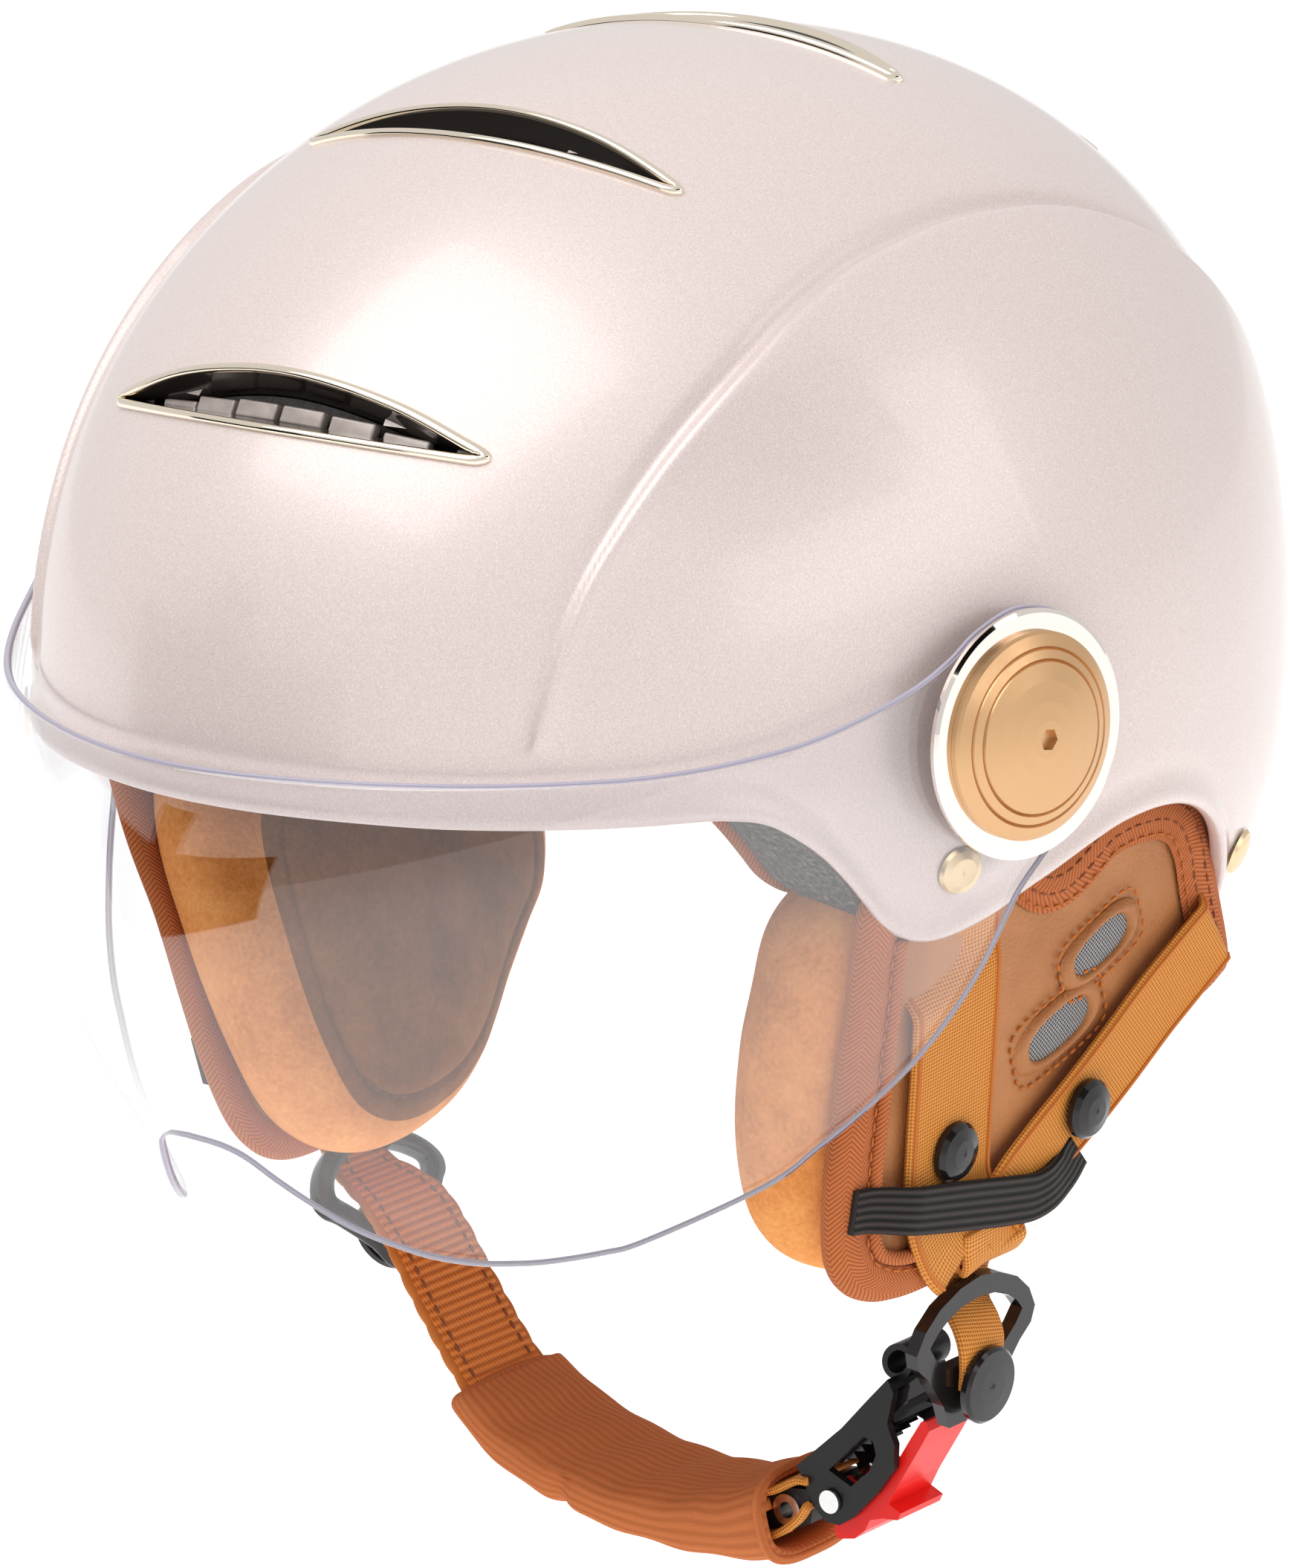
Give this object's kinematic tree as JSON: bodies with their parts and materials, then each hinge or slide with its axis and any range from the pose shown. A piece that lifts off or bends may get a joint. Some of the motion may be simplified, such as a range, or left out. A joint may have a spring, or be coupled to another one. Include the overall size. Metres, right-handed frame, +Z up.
{
  "type": "open face helmet",
  "caption": "Open face riding helmet with a long clear visor on side pivots, padded ear covers, webbing harness, chin pad and ratchet buckle.",
  "frame": {"origin": "on the symmetry plane, 3 mm behind and 1 mm below the axis the visor turns on, inside the head space", "axes": "+Z up, -Y the front of the helmet, +X the wearer's left"},
  "size_m": [0.2584, 0.302, 0.3166],
  "materials": {
    "outer_shell": "gloss pearl lacquer on a moulded shell",
    "foam": "expanded foam",
    "comfort_fabric": "brushed lining cloth",
    "bezel": "champagne chrome",
    "black_plastic": "moulded black plastic",
    "visor": "clear polycarbonate",
    "side_ring": "polished chrome",
    "gold": "satin gold",
    "steel": "plated steel",
    "leather": "grained leather",
    "piping": "herringbone binding",
    "suede": "brushed suede cloth",
    "mesh": "open mesh",
    "webbing": "woven webbing",
    "elastic": "ribbed elastic",
    "lever_red": "bright red moulded plastic",
    "corduroy": "ribbed fleece"
  },
  "bodies": {
    "helmet": {"outer_shell": "outer_shell", "impact_liner": "foam", "comfort_liner": "comfort_fabric", "vent_grille_front": "black_plastic", "neck_roll": "comfort_fabric", "strap_rivets_front": "gold", "strap_rivets_rear": "gold", "strap_ring_right": "black_plastic", "strap_ring_cap_right": "black_plastic", "buckle_receiver": "black_plastic", "lever_pin": "steel", "lever_spring": "steel", "strap_bracket": "black_plastic", "bracket_eyelet": "steel", "chin_strap": "webbing", "chin_pad": "corduroy", "strap_tail_right": "webbing", "webbing_keeper": "webbing", "vent_bezel_front": "bezel", "vent_bezel_upper": "bezel", "vent_bezel_crown": "bezel", "vent_bezel_rear": "bezel", "pivot_nut_left": "steel", "pivot_washer_left": "black_plastic", "pivot_post_left": "steel", "ear_cover_left": "leather", "ear_piping_left": "piping", "ear_pad_left": "suede", "ear_mesh_left": "mesh", "front_strap_left": "webbing", "rear_strap_left": "webbing", "elastic_band_left": "elastic", "strap_snaps_left": "black_plastic", "pivot_nut_right": "steel", "pivot_washer_right": "black_plastic", "pivot_post_right": "steel", "ear_cover_right": "leather", "ear_piping_right": "piping", "ear_pad_right": "suede", "ear_mesh_right": "mesh", "front_strap_right": "webbing", "rear_strap_right": "webbing", "elastic_band_right": "elastic", "strap_snaps_right": "black_plastic"},
    "visor_body": {"visor": "visor", "visor_ring_left": "side_ring", "pivot_cap_left": "gold", "visor_ring_right": "side_ring", "pivot_cap_right": "gold"},
    "lever_body": {"buckle_lever": "lever_red"},
    "tongue_body": {"buckle_tongue": "black_plastic", "strap_ring_cap_left": "black_plastic", "strap_tail_left": "webbing"}
  },
  "joints": [
    {"name": "visor_tilt", "type": "hinge", "parent": "helmet", "child": "visor_body", "pos_m": [0, -0.003, 0.001], "axis": [-1, 0, 0], "range_deg": [0, 50]},
    {"name": "lever_pull", "type": "hinge", "parent": "helmet", "child": "lever_body", "pos_m": [0.0637, 0.015, -0.1735], "axis": [0, 1, 0], "range_deg": [0, 22], "stiffness_Nm_per_rad": 0.06, "springref_deg": -8.59},
    {"name": "tongue_release", "type": "slide", "parent": "helmet", "child": "tongue_body", "axis": [0.7071, 0, 0.7071], "range_m": [0, 0.03], "deforming": ["strap_tail_left"]}
  ]
}
